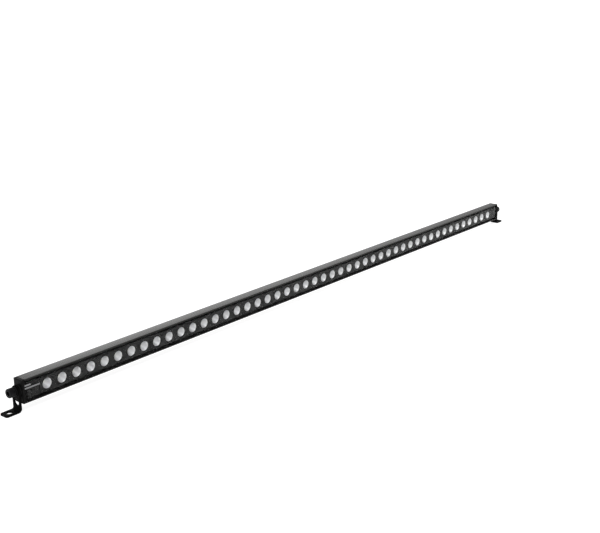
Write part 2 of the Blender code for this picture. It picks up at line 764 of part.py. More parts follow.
def build_lamp(lamp, paint):
    """The housing, optics, electronics and back ports."""
    place("housing", add_mesh("housing", make_housing(), paint["black_anodised"]), lamp)
    place("front_lens", add_mesh("front_lens", make_lens(), paint["clear_lens"]), lamp)
    place("lens_seal", add_mesh("lens_seal", make_lens_seal(), paint["rubber"]), lamp)
    place("thermal_pad", add_mesh("thermal_pad", make_thermal_pad(), paint["thermal_pad"]), lamp)
    strip = add_mesh("reflector_strip", make_reflector_strip(), paint["reflector"])
    board = add_mesh("led_board", make_led_board(), paint["circuit_board"])
    link = add_mesh("board_link", make_board_link(), paint["tin"])
    for i in range(BOARD_COUNT):
        x = (i - (BOARD_COUNT - 1) / 2) * BOARD_SPAN
        place(f"reflector_strip_{i + 1}", strip, lamp, (x, 0, 0))
        place(f"led_board_{i + 1}", board, lamp, (x, 0, 0))
        if i > 0:
            place(f"board_link_{i}", link, lamp, (x - BOARD_SPAN / 2, 0, 0))
    place("driver_board", add_mesh("driver_board", make_driver_board(), paint["green_board"]), lamp)
    coil = make_round_component(ROUND_PART_X, ROUND_PART_Z, COIL_RADIUS, COIL_TALL)
    place("driver_coil", add_mesh("driver_coil", coil, paint["copper"]), lamp)
    capacitor = make_round_component(ROUND_PART_X, -ROUND_PART_Z, CAPACITOR_RADIUS, CAPACITOR_TALL)
    place("driver_capacitor", add_mesh("driver_capacitor", capacitor, paint["tin"]), lamp)
    add_lead("lead_positive", LEAD_SPACING / 2, paint["red_wire"], lamp)
    add_lead("lead_negative", -LEAD_SPACING / 2, paint["black_wire"], lamp)
    place("gland_body", add_mesh("gland_body", make_gland_body(), paint["matte_black"]), lamp)
    place("gland_nut", add_mesh("gland_nut", make_gland_nut(), paint["matte_black"]), lamp)
    place("gland_seal", add_mesh("gland_seal", make_gland_seal(), paint["rubber"]), lamp)
    place("vent_plug", add_mesh("vent_plug", make_vent_plug(), paint["matte_black"]), lamp)


def build_ends(lamp, paint):
    """The end caps, their gaskets and screws, and the blank panels."""
    screw = add_mesh("cap_screw", make_cap_screw(), paint["black_steel"])
    pieces = (
        ("end_cap", make_cap, "powder_coat"),
        ("end_gasket", make_end_gasket, "rubber"),
        ("blank_panel", make_blank_panel, "matte_black"),
    )
    for name, maker, finish in pieces:
        right = maker()
        left = mirrored(right)
        place(f"{name}_right", add_mesh(f"{name}_right", right, paint[finish]), lamp)
        place(f"{name}_left", add_mesh(f"{name}_left", left, paint[finish]), lamp)
    for side, end in ((-1, "left"), (1, "right")):
        for i, (y, z) in enumerate(screw_spots()):
            turn = 0 if side > 0 else math.pi
            place(f"cap_screw_{end}_{i + 1}", screw, lamp, (side * HALF_BAR, y, z), turn)


def build_pivots(lamp, paint):
    """The bolts, washers and spacers on the lamp, and the brackets that tilt about them."""
    spacer_low = HALF_BAR + GAP
    spacer = make_ring(spacer_low, spacer_low + SPACER_THICK, SPACER_RADIUS, WASHER_BORE)
    washer_low = LEG_FACE + SHEET + GAP
    washer = make_ring(washer_low, washer_low + WASHER_THICK, WASHER_RADIUS, WASHER_BORE)
    pieces = (
        ("pivot_bolt", make_bolt(), "black_steel"),
        ("spacer", spacer, "matte_black"),
        ("flat_washer", washer, "black_steel"),
        ("bracket", make_bracket(), "powder_coat"),
    )
    pivots = {}
    for side, end in ((-1, "left"), (1, "right")):
        pivots[end] = add_empty(f"pivot_{end}", (side * HALF_BAR, 0, PIVOT_RISE), lamp)
    for name, right, finish in pieces:
        left = mirrored(right)
        place(f"{name}_right", add_mesh(f"{name}_right", right, paint[finish]), pivots["right"])
        place(f"{name}_left", add_mesh(f"{name}_left", left, paint[finish]), pivots["left"])


def main():
    """Build the whole light bar."""
    clear_scene()
    paint = make_materials()
    lamp = add_empty("lamp", (0, BODY_SHIFT, BODY_LIFT))
    build_lamp(lamp, paint)
    build_ends(lamp, paint)
    build_pivots(lamp, paint)


main()
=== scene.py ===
"""Looks of the slim single-row LED light bar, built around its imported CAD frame.

Everything is in metres in the row's frame. The lamp's pieces are modelled about the middle of
its body, with -Y to the front, and the pivot's pieces and the brackets about the pivot bolt.
"""

import json
import math

import bmesh
import bpy
from mathutils import Matrix, Vector

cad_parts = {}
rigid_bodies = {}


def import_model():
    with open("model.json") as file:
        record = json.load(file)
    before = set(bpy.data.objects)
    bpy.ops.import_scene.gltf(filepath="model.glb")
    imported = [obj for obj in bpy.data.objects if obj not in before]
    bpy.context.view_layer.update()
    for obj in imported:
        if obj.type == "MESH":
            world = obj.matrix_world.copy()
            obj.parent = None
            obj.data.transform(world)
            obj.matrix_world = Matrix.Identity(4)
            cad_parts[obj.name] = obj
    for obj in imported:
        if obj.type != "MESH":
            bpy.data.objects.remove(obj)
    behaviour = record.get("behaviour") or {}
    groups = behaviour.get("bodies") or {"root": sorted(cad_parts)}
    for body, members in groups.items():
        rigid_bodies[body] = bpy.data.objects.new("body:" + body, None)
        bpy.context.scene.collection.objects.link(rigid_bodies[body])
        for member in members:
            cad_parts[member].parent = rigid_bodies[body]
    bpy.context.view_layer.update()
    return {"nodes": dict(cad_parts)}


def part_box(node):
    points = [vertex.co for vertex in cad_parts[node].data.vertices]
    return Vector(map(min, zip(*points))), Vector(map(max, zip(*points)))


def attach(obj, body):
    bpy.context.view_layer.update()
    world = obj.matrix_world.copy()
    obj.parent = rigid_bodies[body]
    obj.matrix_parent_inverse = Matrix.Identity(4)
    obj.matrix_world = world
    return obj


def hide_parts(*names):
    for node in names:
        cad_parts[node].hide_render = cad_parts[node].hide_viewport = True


MM = 0.001
GAP = 0.3 * MM
SIDES = ((-1, "left"), (1, "right"))
SMOOTH_ANGLE = math.radians(35)
BEVEL_ANGLE = math.radians(40)

# Row of LEDs
LED_PITCH = 25 * MM
LEDS_PER_BOARD = 8
BOARD_COUNT = 6
BOARD_SPAN = LEDS_PER_BOARD * LED_PITCH

# Section of the body, from its middle
BODY_CORNER = 1.0 * MM
LIP = 1.8 * MM
LEDGE_DEPTH = 2.5 * MM
CAVITY_BACK = 3.1 * MM
CAVITY_HALF = 11.4 * MM
GROOVE_COUNT = 5
GROOVE_PITCH = 5.2 * MM
GROOVE_WIDTH = 2.2 * MM
GROOVE_DEPTH = 2.6 * MM
EDGE_RADIUS = 0.35 * MM  # of the lips' and the grooves' edges
SPOT_FACE_DEEP = 0.1 * MM  # below the bottom of the grooves

# Ends
CAP_PLATE = 3.0 * MM
CAP_STEP = 0.4 * MM
CAP_BORDER = 1.3 * MM
CAP_BOSS = 8.0 * MM
CAP_CHAMFER = 0.15 * MM
CAP_EDGE = 0.12 * MM
BOSS_RADIUS = 5.5 * MM
BOSS_BURIED = 2 * MM  # from the cap's face to the boss's hidden end
BOLT_CLEAR = 4.2 * MM
SCREW_Z = 13.9 * MM
SCREW_YS = (-2.6 * MM, 6.2 * MM)
SCREW_SHANK = 1.0 * MM
SCREW_HEAD = 2.2 * MM
SCREW_HEAD_TALL = 1.2 * MM
SCREW_LENGTH = 10 * MM
SCREW_CHAMFER = 0.12 * MM
SCREW_POINT = 0.5 * MM
SCREW_SOCKET = 0.9 * MM
SCREW_SOCKET_DEEP = 0.8 * MM

# Optics
LENS_THICK = 1.2 * MM
LENS_INSET = 0.1 * MM
LENS_SIDE_GAP = 0.2 * MM
LENS_CORNER = 0.3 * MM
CUP_FRONT = -7.9 * MM
CUP_BACK = 0.2 * MM
CUP_MOUTH = 7.0 * MM
CUP_THROAT = 2.9 * MM
CUP_RIM = 0.25 * MM
CUP_RINGS = 5
CUP_FACETS = 22
CUP_MARGIN = 0.01 * MM  # faces nearer than this to the strip's front or back aren't a cup's
STRIP_HALF = 11.1 * MM
NOTCH_LENGTH = 4.2 * MM
NOTCH_DEPTH = 3.6 * MM
NOTCH_HALF = 5 * MM
BOARD_FRONT = 0.5 * MM
BOARD_THICK = 1.6 * MM
BOARD_HALF = 10.8 * MM
EMITTER_HALF = 1.7 * MM
EMITTER_TALL = 0.9 * MM
EMITTER_CORNER = 0.2 * MM
CERAMIC_DROP = 0.4 * MM  # from the emitter's top in the frame to the ceramic's face
CERAMIC_CHAMFER = 0.05 * MM
DOME_RADIUS = 1.35 * MM
DOME_STEPS = 9
EMITTER_GAP = 0.01 * MM  # between the board, the ceramic and the dome

# Printed rules by the first LED: (from, to, height above the row), all from the body's middle
PRINTED_RULES = {
    "printed_rule_long": (-624.2 * MM, -600.0 * MM, 4.0 * MM),
    "printed_rule_short": (-624.2 * MM, -614.6 * MM, 8.0 * MM),
}
RULE_HALF_HEIGHT = 1.05 * MM
RULE_CORNER = 0.4 * RULE_HALF_HEIGHT
RULE_THICK = 0.05 * MM
RULE_LIFT = 0.002 * MM  # clear of the lens

# Pivots, from the pivot
SPACER_THICK = 1.6 * MM
WASHER_THICK = 1.6 * MM
WASHER_RADIUS = 6.4 * MM
SPACER_RADIUS = 8.0 * MM
WASHER_BORE = 4.3 * MM
RING_EASE = 0.3 * MM
BOLT_SHANK = 3.9 * MM
BOLT_CHAMFER = 0.6 * MM
BOLT_TIP_GAP = 1.5 * MM  # from the blind end of the boss
BOLT_HEAD = 6.5 * MM
BOLT_HEAD_TALL = 8.0 * MM
BOLT_COLLAR = 5.0 * MM
BOLT_COLLAR_TALL = 1.0 * MM
BOLT_SOCKET = 3.46 * MM
BOLT_SOCKET_DEEP = 4.6 * MM
BOLT_SOCKET_FLARE = 0.3 * MM
BOLT_HEAD_EASE = 0.3 * MM
BOLT_CROWN = ((1.0, 0.0), (0.45, 0.1), (0.12, 0.4), (0.0, 0.8))  # mm down from the top and in
KNURL_COUNT = 40
KNURL_DEPTH = 0.22 * MM
KNURL_START = 0.6 * MM  # above the underside of the head
KNURL_END = 1.3 * MM  # below its top

# Bracket sheet
SHEET = 3.0 * MM
LEG_WIDTH = 16.0 * MM
PIVOT_HOLE = 4.5 * MM
LOWER_HOLE = 5.25 * MM
LOWER_HOLE_DROP = 15.3 * MM
FOOT_HOLE = 4.5 * MM
FOOT_HOLE_IN = 9.6 * MM  # centre of the foot's hole from its tip
FOOT_CORNER = 3.0 * MM
BEND_INNER = 2.5 * MM
BEND_STEPS = 14
SHEET_EDGE = 0.35 * MM
LEG_FACE = SPACER_THICK + 2 * GAP  # from the end of the bar to the leg

# Back ports
GLAND_X = -606 * MM
GLAND_PROUD = 10 * MM
GLAND_NECK = 5.0 * MM
GLAND_NECK_BACK = 5 * MM  # from the neck's end to the nut's outer face
GLAND_BORE = 3.5 * MM
GLAND_HEX = 7.6 * MM
GLAND_HEX_THICK = 2.5 * MM
GLAND_HEX_EASE = (0.4 * MM, 0.5 * MM)  # along and in
GLAND_EDGE = 0.15 * MM
GLAND_SEAT = 8.3 * MM
PORT_CLEAR = 0.3 * MM
SEAT_CLEAR = 0.5 * MM
NUT_START = 3.1 * MM  # above the spot face
NUT_RADIUS = 7.0 * MM
NUT_CHAMFER = 0.3 * MM
NUT_DOME = ((3.0, 6.95), (2.0, 6.8), (1.0, 6.4), (0.3, 5.9), (0.0, 5.5))  # mm in from its face, radius
NUT_MOUTH = 4.6 * MM
NUT_MOUTH_CHAMFER = 0.2 * MM
NUT_LIP = 3.5 * MM
NUT_TAPER = 1.0 * MM
RIB_COUNT = 12
RIB_POINTS = 4
RIB_DEPTH = 0.35 * MM
RIB_END = 3.4 * MM  # in from the nut's outer face
SEAL_START = 4.6 * MM  # in from the nut's outer face
SEAL_RADIUS = 4.2 * MM
SEAL_CHAMFER = 0.2 * MM
SEAL_INNER = 3.5 * MM
SEAL_BEADS = (1.1 * MM, 3.1 * MM)  # in from the seal's outer face
SEAL_BEAD_HALF = 0.7 * MM
SEAL_BEAD_TALL = 0.5 * MM
SEAL_BEAD_STEPS = 6
VENT_X = 606 * MM
VENT_STUB = 2.4 * MM
VENT_CAP = 4.8 * MM
VENT_DOME = ((1.5, 4.8), (1.8, 4.7), (2.05, 4.4), (2.2, 3.9))  # mm above its seat, radius
VENT_NOTCH_COUNT = 8
VENT_NOTCH_RADIUS = 0.5 * MM
VENT_NOTCH_START = 0.5 * MM
VENT_NOTCH_END = 3 * MM

# Camera
AZIMUTH = math.radians(50.23)
ELEVATION = math.radians(16.74)
ROLL = math.radians(0.66)
DISTANCE = 1.7979
LOOK_AT = Vector((-0.04276, -0.005, 0.05997))
LENS_MM = 62.44
SENSOR_MM = 36
CLIP_START = 0.05
CLIP_END = 200

# Studio
FLOOR_REACH = 40
WORLD_STRENGTH = 0.72
SUN_STRENGTH = 1.6
SUN_ANGLE = math.radians(60)
SUN_TURN = (math.radians(12), math.radians(-14), 0)
PANEL_SIZE = (2.3, 0.42)
PANEL_AT = (1.06, 0.8, 0.42)
PANEL_SPREAD = math.radians(125)
PANEL_STRENGTH = 1.35


# ---------------------------------------------------------------- materials


class Nodes:
    """A short way to add nodes to one material."""

    def __init__(self, name):
        self.material = bpy.data.materials.new(name)
        self.material.use_nodes = True
        self.tree = self.material.node_tree
        self.surface = self.tree.nodes["Principled BSDF"]
        self.place = self.add("ShaderNodeTexCoord").outputs["Object"]

    def add(self, kind, inputs=None, **settings):
        node = self.tree.nodes.new(kind)
        for key, value in settings.items():
            setattr(node, key, value)
        for key, value in (inputs or {}).items():
            if isinstance(value, bpy.types.NodeSocket):
                self.tree.links.new(value, node.inputs[key])
            else:
                node.inputs[key].default_value = value
        return node

    def stretched(self, scale):
        """Object coordinates scaled by axis, in features per metre."""
        return self.add("ShaderNodeMapping", {"Vector": self.place, "Scale": scale}).outputs[0]

    def noise(self, scale, detail=3.0, roughness=0.5):
        """Noise with about scale features a metre, on one axis or on three."""
        scale = (scale,) * 3 if isinstance(scale, (int, float)) else scale
        values = {
            "Vector": self.stretched(scale),
            "Scale": 1.0,
            "Detail": detail,
            "Roughness": roughness,
        }
        return self.add("ShaderNodeTexNoise", values).outputs["Fac"]

    def between(self, factor, low, high, start=0.3, end=0.7):
        """A number that goes from low to high as factor goes from start to end."""
        values = {
            "Value": factor,
            "From Min": start,
            "From Max": end,
            "To Min": low,
            "To Max": high,
        }
        return self.add("ShaderNodeMapRange", values).outputs["Result"]

    def blend(self, factor, first, second):
        """A colour that goes from first to second."""
        node = self.add("ShaderNodeMix", data_type="RGBA")
        self.tree.links.new(factor, node.inputs["Factor"])
        for socket, colour in ((node.inputs["A"], first), (node.inputs["B"], second)):
            if isinstance(colour, bpy.types.NodeSocket):
                self.tree.links.new(colour, socket)
            else:
                socket.default_value = (*colour, 1)
        return node.outputs["Result"]

    def raised(self, height, distance, strength=1.0):
        """Use the height as bumps of that many metres."""
        values = {"Height": height, "Distance": distance, "Strength": strength}
        bump = self.add("ShaderNodeBump", values)
        self.tree.links.new(bump.outputs["Normal"], self.surface.inputs["Normal"])

    def give(self, **sockets):
        """Set or link the surface's sockets, named with _ for a space."""
        for key, value in sockets.items():
            socket = self.surface.inputs[key.replace("_", " ")]
            if isinstance(value, bpy.types.NodeSocket):
                self.tree.links.new(value, socket)
            elif isinstance(value, tuple):
                socket.default_value = (*value, 1)
            else:
                socket.default_value = value


def grainy(name, dark, light, rough, grain=1400, depth=0.02 * MM, tone=60, **sockets):
    """A finish with cloudy tone, uneven gloss and a fine grain.

    grain and tone are in features a metre; rough is the range of roughness.
    """
    kit = Nodes(name)
    kit.give(Base_Color=kit.blend(kit.between(kit.noise(tone), 0, 1), dark, light))
    kit.give(Roughness=kit.between(kit.noise(tone * 4), *rough))
    kit.raised(kit.noise(grain, detail=2), depth)
    kit.give(**sockets)
    return kit.material


def grey(level):
    """A neutral colour."""
    return (level,) * 3


def anodised():
    """Black anodised extrusion: fine die lines along the bar and a slight cloudiness."""
    kit = Nodes("black_anodised_finish")
    lines = kit.noise((4, 2600, 2600), detail=2)
    cloud = kit.noise((6, 60, 60))
    dark, light = (0.0045, 0.0045, 0.0038), (0.0075, 0.0075, 0.0065)
    kit.give(Base_Color=kit.blend(kit.between(cloud, 0, 1), dark, light))
    kit.give(Roughness=kit.between(lines, 0.24, 0.32))
    kit.raised(lines, 0.004 * MM)
    kit.give(IOR=1.3)
    return kit.material


def clear_lens():
    """Clear plastic with a breath of haze; its IOR is near 1 so that it hardly reflects."""
    kit = Nodes("clear_lens_finish")
    kit.give(Roughness=kit.between(kit.noise(35), 0.015, 0.05))
    kit.give(Base_Color=(0.96, 0.965, 0.96), Transmission_Weight=1.0, IOR=1.03)
    return kit.material


def chrome():
    """Satin reflector metal."""
    kit = Nodes("reflector_chrome")
    dark, light = (0.66, 0.66, 0.67), (0.74, 0.74, 0.75)
    kit.give(Base_Color=kit.blend(kit.between(kit.noise(240), 0, 1), dark, light))
    kit.give(Roughness=kit.between(kit.noise(900), 0.28, 0.36))
    kit.raised(kit.noise(1200, detail=1), 0.006 * MM)
    kit.give(Metallic=1.0)
    return kit.material


def steel(name, dark, light, rough):
    """Blackened steel with turning marks and slight mottling."""
    kit = Nodes(name)
    kit.give(Base_Color=kit.blend(kit.between(kit.noise(300), 0, 1), dark, light))
    kit.give(Roughness=kit.between(kit.noise(700), *rough))
    kit.raised(kit.noise((5000, 900, 900), detail=2), 0.006 * MM)
    kit.give(Metallic=0.1, IOR=1.14)
    return kit.material


def wound_copper():
    """Turns of enamelled wire round a coil that stands along Y."""
    kit = Nodes("coil_copper")
    turns = kit.add("ShaderNodeTexWave", {"Vector": kit.place, "Scale": 480.0, "Distortion": 0.4},
                    bands_direction="Y").outputs["Fac"]
    kit.give(Base_Color=kit.blend(turns, (0.30, 0.10, 0.04), (0.72, 0.36, 0.18)))
    kit.give(Roughness=kit.between(kit.noise(500), 0.28, 0.4), Metallic=0.9)
    kit.raised(turns, 0.15 * MM)
    return kit.material


def board_finish(name, mask, track, rough):
    """Solder mask with the edges of the tracks just showing under it."""
    kit = Nodes(name)
    tracks = kit.add("ShaderNodeTexVoronoi", {"Vector": kit.place, "Scale": 160.0},
                     distance="MANHATTAN").outputs["Distance"]
    edge = kit.between(tracks, 0, 1, 0.30, 0.34)
    kit.give(Base_Color=kit.blend(edge, mask, track))
    kit.give(Roughness=kit.between(kit.noise(800), *rough))
    kit.raised(edge, 0.03 * MM)
    return kit.material


def phosphor():
    """Silicone dome over the LED's phosphor."""
    kit = Nodes("led_phosphor")
    dark, light = (0.74, 0.73, 0.68), (0.80, 0.79, 0.74)
    kit.give(Base_Color=kit.blend(kit.between(kit.noise(1500), 0, 1), dark, light))
    kit.give(Roughness=kit.between(kit.noise(600), 0.22, 0.32), Coat_Weight=0.6)
    return kit.material


def make_finishes():
    """Every finish by name."""
    return {
        "anodised": anodised(),
        "lens": clear_lens(),
        "chrome": chrome(),
        "bezel": grainy("bezel_black", grey(0.003), grey(0.005), (0.26, 0.34),
                        grain=2600, depth=0.006 * MM, IOR=1.3),
        "panel": grainy("blank_panel_black", grey(0.003), grey(0.005), (0.26, 0.36),
                        grain=1500, depth=0.006 * MM, IOR=1.3),
        "powder": grainy("powder_coat_black", grey(0.003), grey(0.005), (0.38, 0.5),
                         grain=1300, depth=0.05 * MM, IOR=1.14),
        "bracket": grainy("powder_coat_bracket", grey(0.0015), grey(0.003), (0.4, 0.55),
                          grain=1300, depth=0.05 * MM, IOR=1.07),
        "bolt": steel("black_bolt_steel", (0.004, 0.004, 0.0045), (0.008, 0.008, 0.009), (0.25, 0.35)),
        "washer": steel("black_washer_steel", (0.004, 0.004, 0.0045), (0.009, 0.009, 0.01), (0.3, 0.45)),
        "nylon": grainy("spacer_nylon", grey(0.004), grey(0.008), (0.5, 0.65), grain=2200, IOR=1.15),
        "moulded": grainy("moulded_black", grey(0.008), grey(0.013), (0.42, 0.55), grain=1800, IOR=1.3),
        "rubber": grainy("black_rubber", grey(0.004), grey(0.008), (0.7, 0.85),
                         grain=3000, depth=0.04 * MM, IOR=1.15),
        "mask_white": board_finish("white_board", (0.80, 0.81, 0.79), (0.70, 0.71, 0.69), (0.35, 0.45)),
        "mask_green": board_finish("green_board_finish", (0.012, 0.13, 0.045), (0.03, 0.24, 0.09),
                                   (0.3, 0.42)),
        "ceramic": grainy("led_ceramic", (0.78, 0.78, 0.76), (0.86, 0.86, 0.84), (0.4, 0.5), grain=4000),
        "phosphor": phosphor(),
        "ink": grainy("pale_ink", (0.15, 0.15, 0.155), (0.20, 0.20, 0.205), (0.5, 0.65),
                      grain=5000, depth=0.01 * MM),
        "pad": grainy("thermal_pad_finish", (0.20, 0.27, 0.37), (0.28, 0.35, 0.45), (0.7, 0.85),
                      grain=900, depth=0.08 * MM),
        "copper": wound_copper(),
        "tin": grainy("bright_tin", (0.66, 0.66, 0.68), (0.78, 0.78, 0.8), (0.22, 0.35),
                      grain=2500, Metallic=1.0),
        "red_wire": grainy("red_wire_sleeve", (0.42, 0.014, 0.014), (0.55, 0.025, 0.022), (0.4, 0.55)),
        "black_wire": grainy("black_wire_sleeve", grey(0.008), grey(0.015), (0.4, 0.55)),
        "floor": grainy("studio_floor", grey(0.39), grey(0.41), (0.85, 0.95), grain=60, depth=0.05 * MM,
                        tone=0.4, IOR=1.05, Emission_Color=grey(1), Emission_Strength=0.82),
    }


# ---------------------------------------------------------------- shapes


def along(axis, distance, u, v):
    """A point distance along axis, with u and v in the two other axes in X, Y, Z order."""
    return {"X": (distance, u, v), "Y": (u, distance, v), "Z": (u, v, distance)}[axis]


def stack(bm, axis, layers, closed=False):
    """Add a solid through layers of (distance along axis, outline); closed makes a ring."""
    loops = [[bm.verts.new(along(axis, d, u, v)) for u, v in outline] for d, outline in layers]
    pairs = list(zip(loops, loops[1:]))
    if closed:
        pairs.append((loops[-1], loops[0]))
    else:
        bm.faces.new(loops[0])
        bm.faces.new(loops[-1])
    for near, far in pairs:
        for i in range(len(near)):
            j = (i + 1) % len(near)
            bm.faces.new((near[i], near[j], far[j], far[i]))


def prism(bm, axis, outline, low, high):
    """Add a solid that runs along axis with the outline."""
    stack(bm, axis, [(low, outline), (high, outline)])


def circle(radius, centre=(0, 0), segments=48, ripple=0.0):
    """A round outline; ripple sets every second point in by that much."""
    points = []
    for i in range(segments):
        angle = math.tau * (i + 0.5) / segments
        r = radius - ripple * (i % 2)
        points.append((centre[0] + r * math.cos(angle), centre[1] + r * math.sin(angle)))
    return points


def turned(bm, axis, centre, profile, segments=48, closed=False):
    """Add a solid of revolution about axis from (distance, radius)."""
    stack(bm, axis, [(d, circle(r, centre, segments)) for d, r in profile], closed)


def arc(centre, radius, start, end, steps):
    """Points on an arc, angles in degrees."""
    points = []
    for i in range(steps + 1):
        angle = math.radians(start + (end - start) * i / steps)
        points.append((centre[0] + radius * math.cos(angle), centre[1] + radius * math.sin(angle)))
    return points


def rectangle(half_u, half_v, centre=(0, 0)):
    """The outline of a plain rectangle."""
    u, v = centre
    return [
        (u - half_u, v - half_v),
        (u + half_u, v - half_v),
        (u + half_u, v + half_v),
        (u - half_u, v + half_v),
    ]


def rounded_rectangle(half_u, half_v, radius, centre=(0, 0), steps=6):
    """The outline of a rectangle with round corners."""
    points = []
    for turn, (su, sv) in enumerate(((1, 1), (-1, 1), (-1, -1), (1, -1))):
        corner = (centre[0] + su * (half_u - radius), centre[1] + sv * (half_v - radius))
        points += arc(corner, radius, 90 * turn, 90 * turn + 90, steps)
    return points


def shape(*makers):
    """A new bmesh with each maker's solids in it, facing out."""
    bm = bmesh.new()
    for maker in makers:
        maker(bm)
    bmesh.ops.recalc_face_normals(bm, faces=bm.faces)
    return bm


def combine(body, tool, operation="DIFFERENCE"):
    """The body with the tool cut from it, or joined to it."""
    helpers = []
    for role, bm in (("body", body), ("tool", tool)):
        mesh = bpy.data.meshes.new(role)
        bm.to_mesh(mesh)
        bm.free()
        helper = bpy.data.objects.new(role, mesh)
        bpy.context.scene.collection.objects.link(helper)
        helpers.append(helper)
    modifier = helpers[0].modifiers.new("combine", "BOOLEAN")
    modifier.operation = operation
    modifier.solver = "EXACT"
    modifier.object = helpers[1]
    result = bmesh.new()
    result.from_object(helpers[0], bpy.context.evaluated_depsgraph_get())
    for helper in helpers:
        bpy.data.meshes.remove(helper.data)
    return result


def mirrored(bm):
    """The same solid mirrored from the right end to the left."""
    other = bm.copy()
    bmesh.ops.transform(other, matrix=Matrix.Scale(-1, 4, (1, 0, 0)), verts=other.verts)
    bmesh.ops.recalc_face_normals(other, faces=other.faces)
    return other


def add_mesh(name, bm, *finishes):
    """A mesh from the bmesh, smooth where it is round."""
    mesh = bpy.data.meshes.new(name)
    bm.to_mesh(mesh)
    bm.free()
    for finish in finishes:
        mesh.materials.append(finish)
    mesh.shade_smooth()
    mesh.set_sharp_from_angle(angle=SMOOTH_ANGLE)
    return mesh


def place(name, mesh, at, body="lamp", node=None, edge=0.0, turn=0.0):
    """A piece with the mesh, riding on its body in place of its CAD node.

    edge is the radius that its sharp edges are rounded to.
    """
    piece = bpy.data.objects.new(name, mesh)
    piece.location = at
    piece.rotation_euler = (0, 0, turn)
    bpy.context.scene.collection.objects.link(piece)
    if edge:
        bevel = piece.modifiers.new("edges", "BEVEL")
        bevel.limit_method = "ANGLE"
        bevel.angle_limit = BEVEL_ANGLE
        bevel.width = edge
        bevel.segments = 2
        bevel.harden_normals = True
        bevel.use_clamp_overlap = True
    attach(piece, body)
    if node:
        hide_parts(node)
    return piece


# ---------------------------------------------------------------- body


class Body:
    """Sizes of the lamp's body, from the CAD frame."""

    def __init__(self):
        low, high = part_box("housing")
        self.centre = (low + high) / 2
        self.depth = high.y - low.y
        self.height = high.z - low.z
        self.half_housing = (high.x - low.x) / 2
        self.half_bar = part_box("end_cap_right")[1].x
        self.front = -self.depth / 2
        self.back = self.depth / 2
        self.top = self.height / 2
        washer_low, washer_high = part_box("flat_washer_right")
        self.pivot = Vector((0, self.centre.y, (washer_low.z + washer_high.z) / 2))
        self.pivot_rise = self.pivot.z - self.centre.z
        self.spot_face = self.back - GROOVE_DEPTH - SPOT_FACE_DEEP


def housing_outline(size):
    """The extruded section (y, z): a channel open at the front, with grooves in its back."""
    ledge = size.front + LEDGE_DEPTH
    nick = EDGE_RADIUS
    upper = [
        (CAVITY_BACK, CAVITY_HALF),
        (ledge, CAVITY_HALF),
        (ledge, size.top - LIP),
        (size.front + nick, size.top - LIP),
    ]
    upper += arc((size.front + nick, size.top - LIP + nick), nick, 270, 180, 4)[1:]
    upper += arc((size.front + BODY_CORNER, size.top - BODY_CORNER), BODY_CORNER, 180, 90, 8)
    upper += arc((size.back - BODY_CORNER, size.top - BODY_CORNER), BODY_CORNER, 90, 0, 8)
    for i in range(GROOVE_COUNT // 2, -1, -1):
        high = i * GROOVE_PITCH + GROOVE_WIDTH / 2
        low = high - GROOVE_WIDTH
        upper += arc((size.back - nick, high + nick), nick, 0, -90, 3)
        upper.append((size.back - GROOVE_DEPTH, high))
        if i > 0:
            upper.append((size.back - GROOVE_DEPTH, low))
            upper += arc((size.back - nick, low - nick), nick, 90, 0, 3)
    return upper + [(y, -z) for y, z in reversed(upper)]


def screw_spots():
    """The (y, z) of the cap screws."""
    return [(y, z) for y in SCREW_YS for z in (-SCREW_Z, SCREW_Z)]


def make_housing(size):
    """The extrusion with its end pockets, screw bores and back ports."""
    body = shape(lambda bm: prism(bm, "X", housing_outline(size), -size.half_housing, size.half_housing))

    def cutters(bm):
        pivot = (0, size.pivot_rise)
        for side, _ in SIDES:
            pocket = size.half_bar - CAP_PLATE - CAP_BOSS - GAP
            ends = (side * pocket, side * size.half_bar)
            turned(bm, "X", pivot, [(x, BOSS_RADIUS + GAP) for x in ends])
            ends = (side * (size.half_bar - SCREW_LENGTH - MM), side * size.half_bar)
            for spot in screw_spots():
                turned(bm, "X", spot, [(x, SCREW_SHANK + GAP) for x in ends], segments=16)
        ports = (
            (GLAND_X, GLAND_NECK + PORT_CLEAR, GLAND_SEAT),
            (VENT_X, VENT_STUB + PORT_CLEAR, VENT_CAP + SEAT_CLEAR),
        )
        for x, bore, seat in ports:
            profile = [
                (CAVITY_BACK - MM, bore),
                (size.spot_face, bore),
                (size.spot_face, seat),
                (size.back + MM, seat),
            ]
            turned(bm, "Y", (x, 0), profile, segments=64)

    return combine(body, shape(cutters))


def make_cap(size):
    """The right end cap: a stepped plate with a bored boss behind it for the pivot bolt."""
    face = size.half_bar
    step = face - CAP_STEP

    def outline(inset):
        return rounded_rectangle(size.depth / 2 - inset, size.height / 2 - inset, BODY_CORNER)

    layers = [
        (face - CAP_PLATE, outline(0)),
        (step - CAP_CHAMFER, outline(0)),
        (step, outline(CAP_CHAMFER)),
        (step, outline(CAP_BORDER)),
        (face, outline(CAP_BORDER + CAP_STEP / 2)),
    ]
    body = shape(lambda bm: stack(bm, "X", layers))
    boss_end = face - CAP_PLATE - CAP_BOSS
    pivot = (0, size.pivot_rise)
    ends = (boss_end, face - BOSS_BURIED)
    boss = shape(lambda bm: turned(bm, "X", pivot, [(x, BOSS_RADIUS) for x in ends]))
    body = combine(body, boss, "UNION")

    def cutters(bm):
        turned(bm, "X", pivot, [(boss_end + MM, BOLT_CLEAR), (face + MM, BOLT_CLEAR)])
        flare = (SCREW_HEAD - SCREW_SHANK) / SCREW_HEAD_TALL * MM
        for spot in screw_spots():
            profile = [
                (face - 2 * CAP_PLATE, SCREW_SHANK + GAP),
                (face - SCREW_HEAD_TALL, SCREW_SHANK + GAP),
                (face, SCREW_HEAD + GAP),
                (face + MM, SCREW_HEAD + GAP + flare),
            ]
            turned(bm, "X", spot, profile, segments=32)

    return combine(body, shape(cutters))


